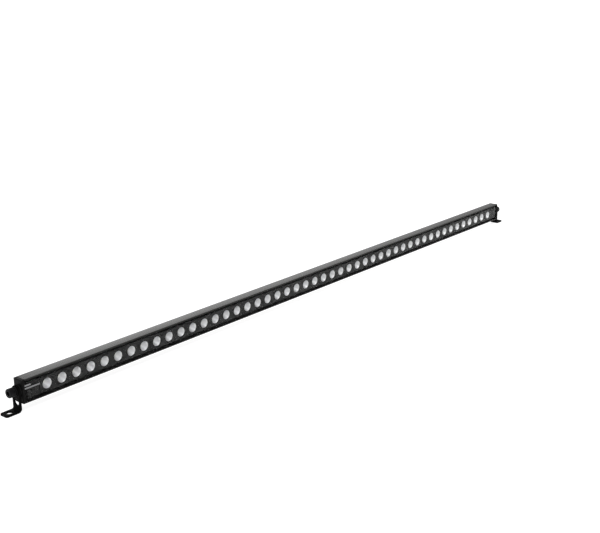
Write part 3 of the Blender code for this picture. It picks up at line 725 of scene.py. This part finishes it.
def make_cap_screw():
    """A countersunk screw along +X, its head's face at the origin, with a hexagonal socket."""
    profile = [
        (0, SCREW_HEAD - SCREW_CHAMFER),
        (-SCREW_CHAMFER, SCREW_HEAD),
        (-SCREW_HEAD_TALL, SCREW_SHANK),
        (-SCREW_LENGTH + SCREW_POINT, SCREW_SHANK),
        (-SCREW_LENGTH, SCREW_SHANK / 2),
    ]
    socket = [(-SCREW_SOCKET_DEEP, SCREW_SOCKET), (MM, SCREW_SOCKET)]
    screw = shape(lambda bm: turned(bm, "X", (0, 0), profile, segments=32))
    return combine(screw, shape(lambda bm: turned(bm, "X", (0, 0), socket, segments=6)))


# ---------------------------------------------------------------- optics


def led_spots():
    """The x of each LED on one board, from the board's middle."""
    return [(i - (LEDS_PER_BOARD - 1) / 2) * LED_PITCH for i in range(LEDS_PER_BOARD)]


def cup_profile():
    """The cutter for one parabolic cup (y, radius), with a fine chamfer at its mouth."""
    depth = CUP_BACK - CUP_FRONT
    growth = (CUP_MOUTH**2 - CUP_THROAT**2) / depth
    profile = [(CUP_FRONT - MM, CUP_MOUTH + CUP_RIM + MM), (CUP_FRONT + CUP_RIM, CUP_MOUTH)]
    for i in range(1, CUP_RINGS + 1):
        radius = CUP_MOUTH + (CUP_THROAT - CUP_MOUTH) * i / CUP_RINGS
        profile.append((CUP_BACK - (radius**2 - CUP_THROAT**2) / growth, radius))
    return profile + [(CUP_BACK + MM, CUP_THROAT)]


def make_reflector_strip():
    """One board's length of faceted cups in a black bezel, notched for the board links."""
    half = BOARD_SPAN / 2 - GAP
    body = shape(lambda bm: prism(bm, "Y", rectangle(half, STRIP_HALF), CUP_FRONT, CUP_BACK))

    def cutters(bm):
        for x in led_spots():
            turned(bm, "Y", (x, 0), cup_profile(), segments=CUP_FACETS)
        for side, _ in SIDES:
            outline = rectangle(NOTCH_LENGTH, NOTCH_HALF, (side * half, 0))
            prism(bm, "Y", outline, CUP_BACK - NOTCH_DEPTH, CUP_BACK + MM)

    bm = combine(body, shape(cutters))
    for face in bm.faces:
        spot = face.calc_center_median()
        nearest = min(math.hypot(spot.x - x, spot.z) for x in led_spots())
        inside = CUP_FRONT + CUP_MARGIN < spot.y < CUP_BACK - CUP_MARGIN
        face.material_index = int(inside and nearest < CUP_MOUTH + CUP_RIM / 2)
    return bm


def make_led_board():
    """One board with its emitters: a ceramic body and a silicone dome each."""
    half = BOARD_SPAN / 2 - GAP
    bm = shape(lambda b: prism(b, "Y", rectangle(half, BOARD_HALF), BOARD_FRONT, BOARD_FRONT + BOARD_THICK))
    face = BOARD_FRONT - EMITTER_TALL + CERAMIC_DROP

    def add(index, maker):
        part = shape(maker)
        for part_face in part.faces:
            part_face.material_index = index
        helper = bpy.data.meshes.new("helper")
        part.to_mesh(helper)
        part.free()
        bm.from_mesh(helper)
        bpy.data.meshes.remove(helper)

    for x in led_spots():
        def body(b, x=x):
            tip_half = EMITTER_HALF - CERAMIC_CHAMFER
            side = rounded_rectangle(EMITTER_HALF, EMITTER_HALF, EMITTER_CORNER, (x, 0), 3)
            tip = rounded_rectangle(tip_half, tip_half, EMITTER_CORNER, (x, 0), 3)
            stack(b, "Y", [(BOARD_FRONT - EMITTER_GAP, side), (face + CERAMIC_CHAMFER, side), (face, tip)])

        def dome(b, x=x):
            base = face - EMITTER_GAP
            profile = [(base, DOME_RADIUS)]
            for i in range(1, DOME_STEPS):
                angle = math.pi / 2 * i / DOME_STEPS
                profile.append((base - DOME_RADIUS * math.sin(angle), DOME_RADIUS * math.cos(angle)))
            turned(b, "Y", (x, 0), profile, segments=24)

        add(1, body)
        add(2, dome)
    return bm


def make_lens(size):
    """The one long flat lens with eased edges."""
    height = size.top - LIP - LENS_SIDE_GAP
    low = size.front + LENS_INSET
    outline = rounded_rectangle(LENS_THICK / 2, height, LENS_CORNER, (low + LENS_THICK / 2, 0), 3)
    return shape(lambda bm: prism(bm, "X", outline, -size.half_housing, size.half_housing))


def make_rule(size, start, end, height):
    """One plain printed line on the lens, just behind the front of the lips."""
    face = size.front + LENS_INSET
    middle = ((start + end) / 2, height)
    outline = rounded_rectangle((end - start) / 2, RULE_HALF_HEIGHT, RULE_CORNER, middle, 4)
    return shape(lambda bm: prism(bm, "Y", outline, face - RULE_THICK, face - RULE_LIFT))


# ---------------------------------------------------------------- back ports


def make_gland_body(size):
    """The gland's hexagonal body, bored through, with a neck each way."""
    seat = size.spot_face + GAP
    end = seat + GLAND_HEX_THICK
    along_ease, in_ease = GLAND_HEX_EASE
    neck_end = size.back + GLAND_PROUD - GLAND_NECK_BACK
    hexagon = [(seat, GLAND_HEX), (end - along_ease, GLAND_HEX), (end, GLAND_HEX - in_ease)]
    body = shape(lambda bm: turned(bm, "Y", (GLAND_X, 0), hexagon, segments=6))
    necks = [(CAVITY_BACK + GAP, GLAND_NECK), (neck_end, GLAND_NECK)]
    body = combine(body, shape(lambda bm: turned(bm, "Y", (GLAND_X, 0), necks)), "UNION")
    bore = [(0, GLAND_BORE), (neck_end + MM, GLAND_BORE)]
    return combine(body, shape(lambda bm: turned(bm, "Y", (GLAND_X, 0), bore)))


def make_gland_nut(size):
    """The domed nut, with grip ribs round its skirt."""
    start = size.spot_face + NUT_START
    end = size.back + GLAND_PROUD
    bore = GLAND_NECK + GAP
    profile = [
        (start, bore, 0),
        (start, NUT_RADIUS - NUT_CHAMFER, 0),
        (start + NUT_CHAMFER, NUT_RADIUS, RIB_DEPTH),
        (end - RIB_END, NUT_RADIUS, RIB_DEPTH),
    ]
    profile += [(end - inward * MM, radius * MM, 0) for inward, radius in NUT_DOME]
    profile += [
        (end, NUT_MOUTH + NUT_MOUTH_CHAMFER, 0),
        (end - NUT_MOUTH_CHAMFER, NUT_MOUTH, 0),
        (end - NUT_LIP, NUT_MOUTH, 0),
        (end - NUT_LIP - NUT_TAPER, bore, 0),
    ]

    def outline(radius, ripple):
        count = RIB_COUNT * RIB_POINTS
        points = []
        for i in range(count):
            angle = math.tau * (i + 0.5) / count
            r = radius - ripple * (i % RIB_POINTS < RIB_POINTS / 2)
            points.append((GLAND_X + r * math.cos(angle), r * math.sin(angle)))
        return points

    layers = [(y, outline(radius, ripple)) for y, radius, ripple in profile]
    return shape(lambda bm: stack(bm, "Y", layers, closed=True))


def make_gland_seal(size):
    """The rubber insert, with two sealing beads in its bore."""
    start = size.back + GLAND_PROUD - SEAL_START
    end = size.back + GLAND_PROUD - GAP
    profile = [
        (start, SEAL_RADIUS),
        (end - SEAL_CHAMFER, SEAL_RADIUS),
        (end, SEAL_RADIUS - SEAL_CHAMFER),
        (end, SEAL_INNER),
    ]
    for inward in SEAL_BEADS:
        for i in range(SEAL_BEAD_STEPS + 1):
            angle = math.pi * i / SEAL_BEAD_STEPS
            along_bore = end - inward + SEAL_BEAD_HALF * math.cos(angle)
            profile.append((along_bore, SEAL_INNER - SEAL_BEAD_TALL * math.sin(angle)))
    profile.append((start, SEAL_INNER))
    return shape(lambda bm: turned(bm, "Y", (GLAND_X, 0), profile, segments=32, closed=True))


def make_vent_plug(size):
    """The pressure vent: a plain stub under a cap with notches round its edge."""
    seat = size.spot_face + GAP
    profile = [(CAVITY_BACK + GAP, VENT_STUB), (seat, VENT_STUB), (seat, VENT_CAP)]
    profile += [(seat + rise * MM, radius * MM) for rise, radius in VENT_DOME]
    body = shape(lambda bm: turned(bm, "Y", (VENT_X, 0), profile, segments=40))

    def notches(bm):
        for i in range(VENT_NOTCH_COUNT):
            angle = math.tau * i / VENT_NOTCH_COUNT
            spot = (VENT_X + VENT_CAP * math.cos(angle), VENT_CAP * math.sin(angle))
            ends = (seat + VENT_NOTCH_START, seat + VENT_NOTCH_END)
            turned(bm, "Y", spot, [(y, VENT_NOTCH_RADIUS) for y in ends], segments=12)

    return combine(body, shape(notches))


# ---------------------------------------------------------------- pivots and brackets


def make_bolt():
    """The right pivot bolt: a knurled round head on a collar, with a hexagonal socket."""
    under = LEG_FACE + SHEET + WASHER_THICK + 2 * GAP
    tip = BOLT_TIP_GAP - CAP_PLATE - CAP_BOSS
    head = under + BOLT_COLLAR_TALL
    top = head + BOLT_HEAD_TALL
    layers = [
        (tip, BOLT_SHANK - BOLT_CHAMFER, 0),
        (tip + BOLT_CHAMFER, BOLT_SHANK, 0),
        (under, BOLT_SHANK, 0),
        (under, BOLT_COLLAR, 0),
        (head, BOLT_COLLAR, 0),
        (head, BOLT_HEAD - BOLT_HEAD_EASE, 0),
        (head + BOLT_HEAD_EASE, BOLT_HEAD, 0),
        (head + KNURL_START, BOLT_HEAD, KNURL_DEPTH),
        (top - KNURL_END, BOLT_HEAD, KNURL_DEPTH),
    ]
    layers += [(top - down * MM, BOLT_HEAD - inward * MM, 0) for down, inward in BOLT_CROWN]
    rings = [(x, circle(r, (0, 0), 2 * KNURL_COUNT, ripple)) for x, r, ripple in layers]
    body = shape(lambda bm: stack(bm, "X", rings))
    socket = [
        (top - BOLT_SOCKET_DEEP, BOLT_SOCKET),
        (top - BOLT_SOCKET_FLARE, BOLT_SOCKET),
        (top - BOLT_SOCKET_FLARE + MM, BOLT_SOCKET + MM),
    ]
    return combine(body, shape(lambda bm: turned(bm, "X", (0, 0), socket, segments=6)))


def make_ring(low, high, radius):
    """A washer or spacer on the right pivot, its edges eased."""
    ease = RING_EASE
    profile = [
        (low, WASHER_BORE + ease / 2),
        (low, radius - ease),
        (low + ease / 3, radius - ease / 3),
        (low + ease, radius),
        (high - ease, radius),
        (high - ease / 3, radius - ease / 3),
        (high, radius - ease),
        (high, WASHER_BORE + ease / 2),
        (high - ease / 2, WASHER_BORE),
        (low + ease / 2, WASHER_BORE),
    ]
    return shape(lambda bm: turned(bm, "X", (0, 0), profile, segments=64, closed=True))


def make_bracket(pivot_height, foot_reach):
    """The right bracket: a flat blank with its holes, bent into an L, from the end of the bar."""
    half = LEG_WIDTH / 2
    straight = pivot_height + half - SHEET - BEND_INNER
    arc_length = math.pi / 2 * (BEND_INNER + SHEET / 2)
    bend_x = LEG_FACE + SHEET + BEND_INNER
    bend_z = SHEET + BEND_INNER
    end = straight + arc_length + foot_reach - bend_x
    outline = arc((half, 0), half, 270, 90, 32)
    outline += arc((end - FOOT_CORNER, half - FOOT_CORNER), FOOT_CORNER, 90, 0, 8)
    outline += arc((end - FOOT_CORNER, FOOT_CORNER - half), FOOT_CORNER, 0, -90, 8)
    blank = shape(lambda bm: prism(bm, "Z", outline, 0, SHEET))

    def holes(bm):
        spots = (
            (half, PIVOT_HOLE),
            (half + LOWER_HOLE_DROP, LOWER_HOLE),
            (end - FOOT_HOLE_IN, FOOT_HOLE),
        )
        for run, radius in spots:
            turned(bm, "Z", (run, 0), [(-MM, radius), (SHEET + MM, radius)])

    bm = combine(blank, shape(holes))
    for i in range(BEND_STEPS + 1):
        everything = bm.verts[:] + bm.edges[:] + bm.faces[:]
        cut_at = straight + arc_length * i / BEND_STEPS
        bmesh.ops.bisect_plane(bm, geom=everything, plane_co=(cut_at, 0, 0), plane_no=(1, 0, 0))
    for vert in bm.verts:
        run, side, depth = vert.co
        if run <= straight:
            spot = (LEG_FACE + depth, side, bend_z + straight - run)
        elif run >= straight + arc_length:
            spot = (bend_x + run - straight - arc_length, side, depth)
        else:
            angle = (run - straight) / arc_length * math.pi / 2
            radius = BEND_INNER + SHEET - depth
            spot = (bend_x - radius * math.cos(angle), side, bend_z - radius * math.sin(angle))
        vert.co = Vector(spot) - Vector((0, 0, pivot_height))
    bmesh.ops.recalc_face_normals(bm, faces=bm.faces)
    return bm


# ---------------------------------------------------------------- assembly


def build_body(size, looks):
    """The housing, lens, printed rules and back ports."""
    at = size.centre
    housing = add_mesh("housing_extrusion", make_housing(size), looks["anodised"])
    place("housing_extrusion", housing, at, node="housing")
    lens = add_mesh("lens_clear", make_lens(size), looks["lens"])
    lens = place("lens_clear", lens, at, node="front_lens")
    lens.visible_shadow = False
    for name, (start, end, height) in PRINTED_RULES.items():
        place(name, add_mesh(name, make_rule(size, start, end, height), looks["ink"]), at)
    ports = (
        ("gland_body", make_gland_body, "moulded", "matte_black", GLAND_EDGE),
        ("gland_nut", make_gland_nut, "moulded", "matte_black", 0.0),
        ("gland_seal", make_gland_seal, "rubber", "rubber", 0.0),
        ("vent_plug", make_vent_plug, "moulded", "matte_black", 0.0),
    )
    for node, maker, look, slot, edge in ports:
        name = f"{node}_detail"
        place(name, add_mesh(name, maker(size), looks[look]), at, node=node, edge=edge)


def build_row(size, looks):
    """The reflector strips and LED boards."""
    strip = add_mesh("reflector_cups", make_reflector_strip(), looks["bezel"], looks["chrome"])
    for face in strip.polygons:
        face.use_smooth = False
    board_looks = (looks["mask_white"], looks["ceramic"], looks["phosphor"])
    board = add_mesh("led_board_detail", make_led_board(), *board_looks)
    for i in range(BOARD_COUNT):
        at = size.centre + Vector(((i - (BOARD_COUNT - 1) / 2) * BOARD_SPAN, 0, 0))
        place(f"reflector_cups_{i + 1}", strip, at, node=f"reflector_strip_{i + 1}")
        place(f"led_board_detail_{i + 1}", board, at, node=f"led_board_{i + 1}")


def build_ends(size, looks):
    """The end caps and their screws."""
    right = make_cap(size)
    left = mirrored(right)
    for end, bm in (("left", left), ("right", right)):
        name = f"end_plate_{end}"
        mesh = add_mesh(name, bm, looks["powder"])
        place(name, mesh, size.centre, node=f"end_cap_{end}", edge=CAP_EDGE)
    screw = add_mesh("hex_screw", make_cap_screw(), looks["bolt"])
    for side, end in SIDES:
        for i, (y, z) in enumerate(screw_spots()):
            at = size.centre + Vector((side * size.half_bar, y, z))
            node = f"cap_screw_{end}_{i + 1}"
            turn = 0 if side > 0 else math.pi
            place(f"hex_screw_{end}_{i + 1}", screw, at, node=node, turn=turn)


def build_pivots(size, looks):
    """The bolts, washers and spacers on the lamp, and the brackets that tilt about them."""
    washer_low = LEG_FACE + SHEET + GAP
    foot_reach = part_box("bracket_right")[1].x - size.half_bar
    spacer = make_ring(GAP, GAP + SPACER_THICK, SPACER_RADIUS)
    washer = make_ring(washer_low, washer_low + WASHER_THICK, WASHER_RADIUS)
    bracket = make_bracket(size.pivot.z, foot_reach)
    pieces = (
        ("pivot_bolt", "socket_bolt", make_bolt(), "bolt", "black_steel", 0.0, False),
        ("spacer", "nylon_spacer", spacer, "nylon", "matte_black", 0.0, False),
        ("flat_washer", "washer", washer, "washer", "black_steel", 0.0, False),
        ("bracket", "bent_bracket", bracket, "bracket", "powder_coat_steel", SHEET_EDGE, True),
    )
    for node, piece, right, look, slot, edge, tilts in pieces:
        left = mirrored(right)
        for side, end, bm in ((-1, "left", left), (1, "right", right)):
            name = f"{piece}_{end}"
            body = f"bracket_{end}" if tilts else "lamp"
            at = size.pivot + Vector((side * size.half_bar, 0, 0))
            mesh = add_mesh(name, bm, looks[look])
            place(name, mesh, at, body=body, node=f"{node}_{end}", edge=edge)


def finish_frame(frame, looks):
    """Give the CAD nodes that stay their finishes."""
    finishes = {
        "lens_seal": "rubber",
        "end_gasket": "rubber",
        "thermal_pad": "pad",
        "board_link": "tin",
        "blank_panel": "panel",
        "driver_board": "mask_green",
        "driver_coil": "copper",
        "driver_capacitor": "tin",
        "lead_positive": "red_wire",
        "lead_negative": "black_wire",
    }
    for node, piece in frame["nodes"].items():
        for start, look in finishes.items():
            if node.startswith(start):
                for holder in piece.material_slots:
                    holder.link = "OBJECT"
                    holder.material = looks[look]


def build_studio(looks):
    """A pale floor, a soft overhead light, a panel of light behind and an even white surround."""
    bm = bmesh.new()
    corners = [bm.verts.new((x, y, 0)) for x, y in rectangle(FLOOR_REACH, FLOOR_REACH)]
    bm.faces.new(corners)
    floor = bpy.data.objects.new("studio_floor", add_mesh("studio_floor", bm, looks["floor"]))
    bpy.context.scene.collection.objects.link(floor)

    sun = bpy.data.lights.new("overhead", "SUN")
    sun.energy = SUN_STRENGTH
    sun.angle = SUN_ANGLE
    overhead = bpy.data.objects.new("overhead", sun)
    overhead.rotation_euler = SUN_TURN
    bpy.context.scene.collection.objects.link(overhead)

    panel = bpy.data.lights.new("back_panel", "AREA")
    panel.shape = "RECTANGLE"
    panel.size, panel.size_y = PANEL_SIZE
    panel.spread = PANEL_SPREAD
    panel.energy = PANEL_STRENGTH * math.pi * panel.size * panel.size_y
    back_panel = bpy.data.objects.new("back_panel", panel)
    back_panel.location = PANEL_AT
    back_panel.rotation_euler = (math.radians(-90), 0, 0)
    back_panel.visible_camera = False
    bpy.context.scene.collection.objects.link(back_panel)

    world = bpy.data.worlds.new("studio")
    bpy.context.scene.world = world
    world.use_nodes = True
    background = world.node_tree.nodes["Background"]
    background.inputs["Color"].default_value = (1, 1, 1, 1)
    background.inputs["Strength"].default_value = WORLD_STRENGTH


def build_camera():
    """The camera in front of the bar, above it and off its left end, rolled slightly."""
    level = math.cos(ELEVATION)
    ahead = Vector((math.sin(AZIMUTH) * level, math.cos(AZIMUTH) * level, -math.sin(ELEVATION)))
    right = ahead.cross(Vector((0, 0, 1))).normalized()
    down = ahead.cross(right)
    side = right * math.cos(ROLL) + down * math.sin(ROLL)
    below = down * math.cos(ROLL) - right * math.sin(ROLL)
    lens = bpy.data.cameras.new("camera")
    lens.lens = LENS_MM
    lens.sensor_width = SENSOR_MM
    lens.clip_start = CLIP_START
    lens.clip_end = CLIP_END
    camera = bpy.data.objects.new("camera", lens)
    turn = Matrix((side, -below, -ahead)).transposed()
    camera.matrix_world = Matrix.Translation(LOOK_AT - ahead * DISTANCE) @ turn.to_4x4()
    bpy.context.scene.collection.objects.link(camera)
    bpy.context.scene.camera = camera


def main():
    """Build the looks."""
    for piece in list(bpy.data.objects):
        bpy.data.objects.remove(piece, do_unlink=True)
    bpy.context.scene.view_settings.view_transform = "Standard"
    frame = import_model()
    size = Body()
    looks = make_finishes()
    build_camera()
    build_body(size, looks)
    build_row(size, looks)
    build_ends(size, looks)
    build_pivots(size, looks)
    finish_frame(frame, looks)
    build_studio(looks)


main()
